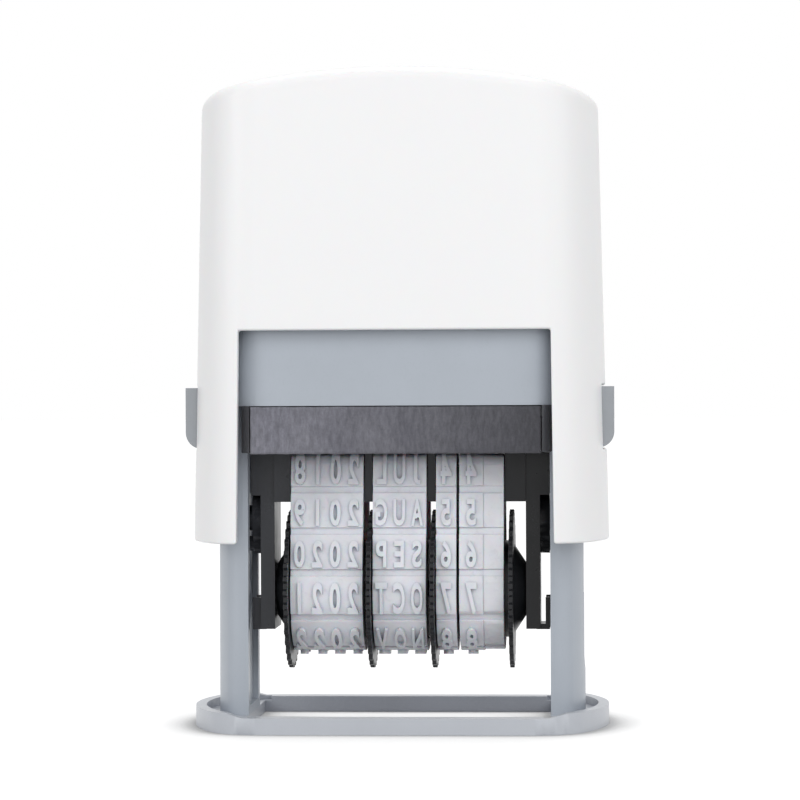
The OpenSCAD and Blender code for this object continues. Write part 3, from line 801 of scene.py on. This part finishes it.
def make_characters(name, words, left, right):
    """The characters of one band, between its left and right edge."""
    loop = Loop()
    out = bmesh.new()
    for k, word in enumerate(words):
        relief = PRINT_RELIEF if k == 0 else CHAR_RELIEF
        for i, char in enumerate(word):
            bm = bmesh.new()
            bm.from_mesh(glyph(char))
            middle = (left + right) / 2 + ((len(word) - 1) / 2 - i) * CHAR_PITCH
            bend(bm, loop, k * loop.pitch + CHAR_SHIFT, middle, relief)
            mesh = bpy.data.meshes.new("bent")
            bm.to_mesh(mesh)
            bm.free()
            out.from_mesh(mesh)
            bpy.data.meshes.remove(mesh)
    piece = add_piece(name, to_mesh(name, out), "rotor", "band_rubber")
    soften(piece, CHAR_SOFT, 2, CHAR_SHARP_ANGLE)


for band, words in BAND_WORDS.items():
    low, high = node_box(band)
    blank = BLANK_W if band == "units_band" else 0
    make_characters(band.replace("band", "characters"), words, low.x, high.x - blank)
for mesh in glyphs.values():
    bpy.data.meshes.remove(mesh)


# Camera at the photograph's view, in millimetres and degrees; its clip distances are in metres

CAMERA_TARGET = Vector((-0.124, 0, 30.39))
CAMERA_DISTANCE = 304.08
CAMERA_YAW = 3.469
CAMERA_PITCH = 0.072
CAMERA_ROLL = -0.261
CAMERA_LENS = 144.98
CAMERA_SENSOR = 36
CAMERA_CLIP = (0.01, 50)


def make_camera():
    data = bpy.data.cameras.new("camera")
    data.sensor_width = CAMERA_SENSOR
    data.lens = CAMERA_LENS
    data.clip_start, data.clip_end = CAMERA_CLIP
    cam = bpy.data.objects.new("camera", data)
    bpy.context.scene.collection.objects.link(cam)
    yaw, pitch, roll = (math.radians(a) for a in (CAMERA_YAW, CAMERA_PITCH, CAMERA_ROLL))
    forward = Vector((-math.sin(yaw) * math.cos(pitch), math.cos(yaw) * math.cos(pitch), -math.sin(pitch)))
    level = forward.cross(Vector((0, 0, 1))).normalized()
    plumb = level.cross(forward)
    right = math.cos(roll) * level + math.sin(roll) * plumb
    up = math.cos(roll) * plumb - math.sin(roll) * level
    turn = Matrix((right, up, -forward)).transposed().to_4x4()
    cam.matrix_world = Matrix.Translation((CAMERA_TARGET - CAMERA_DISTANCE * forward) * MM) @ turn
    bpy.context.scene.camera = cam


# Studio: a pale floor that stays white to the camera and keeps the shadow, with a painted shadow in its glow
# where the object stands, and soft light, in metres

FLOOR_RADIUS = 4
FLOOR_SIDES = 96
FLOOR_COLOUR = (0.62, 0.62, 0.62, 1)
FLOOR_GLOW = 0.62
# how far and how deep the painted shadow in the floor's glow reaches
CONTACT_REACH = 0.007
CONTACT_FROM = 0.65
WORLD_LIGHT = 0.43
LAMP_TARGET = Vector((0, 0, 0.035))


def calc(tree, operation, a, b):
    """A math node on two sockets, of which the second may be a number."""
    node = tree.nodes.new("ShaderNodeMath")
    node.operation = operation
    tree.links.new(a, node.inputs[0])
    if isinstance(b, bpy.types.NodeSocket):
        tree.links.new(b, node.inputs[1])
    else:
        node.inputs[1].default_value = b
    return node.outputs[0]


def seen_directly(tree):
    """1 for camera, glossy and transmission rays."""
    rays = tree.nodes.new("ShaderNodeLightPath").outputs
    reflected = calc(tree, "MAXIMUM", rays["Is Camera Ray"], rays["Is Glossy Ray"])
    return calc(tree, "MAXIMUM", reflected, rays["Is Transmission Ray"])


def painted_floor_shadow(tree):
    """1 on the open floor, falling to 0 where the object stands on it; the floor's glow is dimmed by it, a
    painted shadow.
    """
    near = tree.nodes.new("ShaderNodeAmbientOcclusion")
    near.inputs["Distance"].default_value = CONTACT_REACH
    near.samples = OCCLUSION_SAMPLES
    spread = tree.nodes.new("ShaderNodeMapRange")
    spread.inputs["From Min"].default_value = CONTACT_FROM
    tree.links.new(near.outputs["AO"], spread.inputs["Value"])
    return spread.outputs["Result"]


def make_floor():
    bpy.ops.mesh.primitive_circle_add(vertices=FLOOR_SIDES, radius=FLOOR_RADIUS, fill_type="NGON")
    floor = bpy.context.object
    floor.name = "floor"
    mat = bpy.data.materials.new("floor")
    mat.use_nodes = True
    tree = mat.node_tree
    tree.nodes.clear()
    diffuse = tree.nodes.new("ShaderNodeBsdfDiffuse")
    diffuse.inputs["Color"].default_value = FLOOR_COLOUR
    glow = tree.nodes.new("ShaderNodeEmission")
    # the glow is dimmed where the object stands: a painted shadow
    open_floor = calc(tree, "MULTIPLY", seen_directly(tree), painted_floor_shadow(tree))
    tree.links.new(calc(tree, "MULTIPLY", open_floor, FLOOR_GLOW), glow.inputs["Strength"])
    add = tree.nodes.new("ShaderNodeAddShader")
    tree.links.new(diffuse.outputs[0], add.inputs[0])
    tree.links.new(glow.outputs[0], add.inputs[1])
    out = tree.nodes.new("ShaderNodeOutputMaterial")
    tree.links.new(add.outputs[0], out.inputs["Surface"])
    floor.data.materials.append(mat)


def make_world():
    world = bpy.data.worlds.new("studio")
    bpy.context.scene.world = world
    world.use_nodes = True
    tree = world.node_tree
    tree.nodes.clear()
    mix = tree.nodes.new("ShaderNodeMixShader")
    tree.links.new(seen_directly(tree), mix.inputs[0])
    for strength, place in ((WORLD_LIGHT, mix.inputs[1]), (1.0, mix.inputs[2])):
        light = tree.nodes.new("ShaderNodeBackground")
        light.inputs["Color"].default_value = WHITE
        light.inputs["Strength"].default_value = strength
        tree.links.new(light.outputs[0], place)
    out = tree.nodes.new("ShaderNodeOutputWorld")
    tree.links.new(mix.outputs[0], out.inputs["Surface"])


def area_light(name, place, size, watts, mirrored=True):
    """Square softbox that faces the object and that glossy faces may mirror."""
    data = bpy.data.lights.new(name, "AREA")
    data.shape = "SQUARE"
    data.size = size
    data.energy = watts
    lamp = bpy.data.objects.new(name, data)
    bpy.context.scene.collection.objects.link(lamp)
    lamp.location = place
    lamp.visible_glossy = mirrored
    lamp.rotation_euler = (LAMP_TARGET - Vector(place)).to_track_quat("-Z", "Y").to_euler()


def sun_light(name, direction, spread, strength):
    """Even light from one side of the sky; the spread in degrees."""
    data = bpy.data.lights.new(name, "SUN")
    data.angle = math.radians(spread)
    data.energy = strength
    lamp = bpy.data.objects.new(name, data)
    bpy.context.scene.collection.objects.link(lamp)
    lamp.rotation_euler = Vector(direction).to_track_quat("-Z", "Y").to_euler()


make_camera()
make_floor()
make_world()
area_light("front", (0.3, -0.95, 0.5), 0.9, 4.6, mirrored=False)
area_light("left", (-0.8, -0.55, 0.3), 0.5, 2.1)
area_light("right", (0.85, -0.45, 0.3), 0.5, 1.1)
sun_light("top", (0, -0.35, -1), 24, 0.8)
bpy.context.scene.view_settings.view_transform = "Standard"
